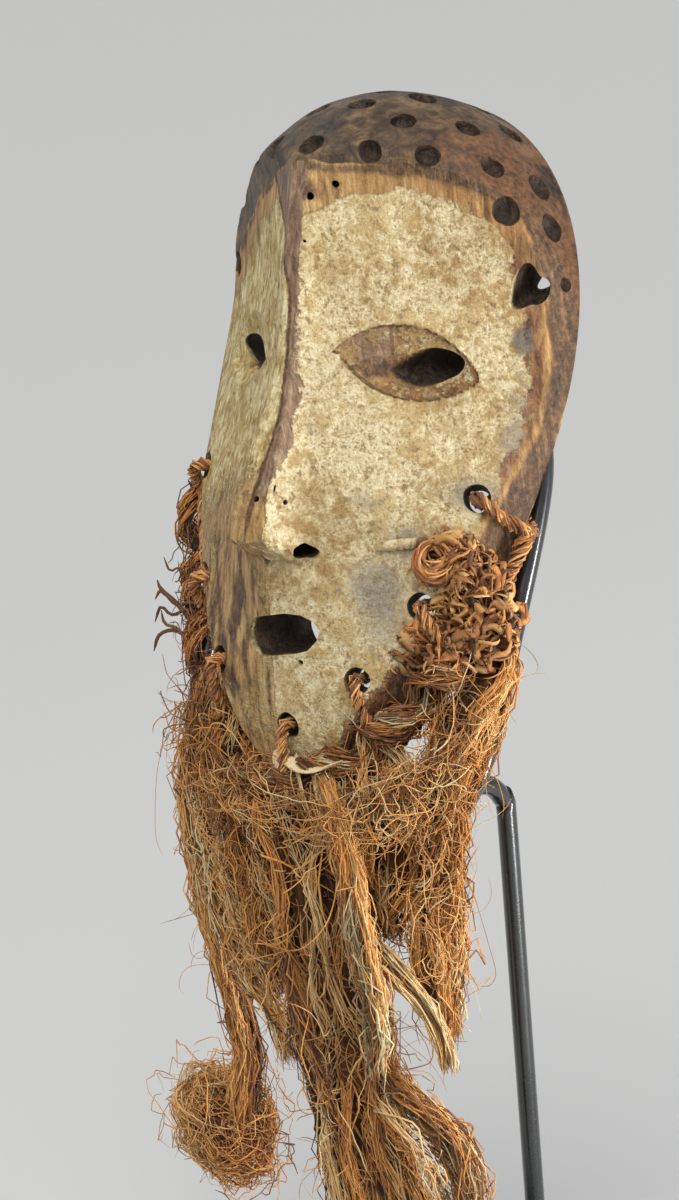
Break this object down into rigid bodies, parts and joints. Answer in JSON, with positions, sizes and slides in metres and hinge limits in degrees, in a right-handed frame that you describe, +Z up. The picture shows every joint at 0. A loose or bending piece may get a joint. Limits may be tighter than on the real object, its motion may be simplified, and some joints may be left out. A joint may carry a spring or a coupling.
{
  "type": "mask on display stand",
  "caption": "Carved and whitened wooden face mask with pierced eyes, mouth and rim holes, a plant-fibre beard and a bent steel display rod on a flat foot.",
  "frame": {"origin": "centre of the foot's underside", "axes": "+Z up, -Y the way the face looks, +X to the left of a person facing out of the mask"},
  "size_m": [0.1319, 0.127, 0.3875],
  "materials": {
    "carved_wood": "worn chalky white kaolin over ochre and dark brown weathered wood",
    "lacing": "dull twisted red-brown plant fibre",
    "beard_fibre": "dry, frayed golden-brown plant fibre",
    "blackened_steel": "satin black"
  },
  "bodies": {
    "root": {"mask": "carved_wood", "lacing_cord": "lacing", "knot_right": "lacing", "beard_left_hank": "beard_fibre", "beard_centre": "beard_fibre", "beard_left_inner": "beard_fibre", "beard_right": "beard_fibre", "beard_right_inner": "beard_fibre", "beard_right_curl": "beard_fibre", "display_rod": "blackened_steel", "display_foot": "blackened_steel"}
  },
  "joints": []
}
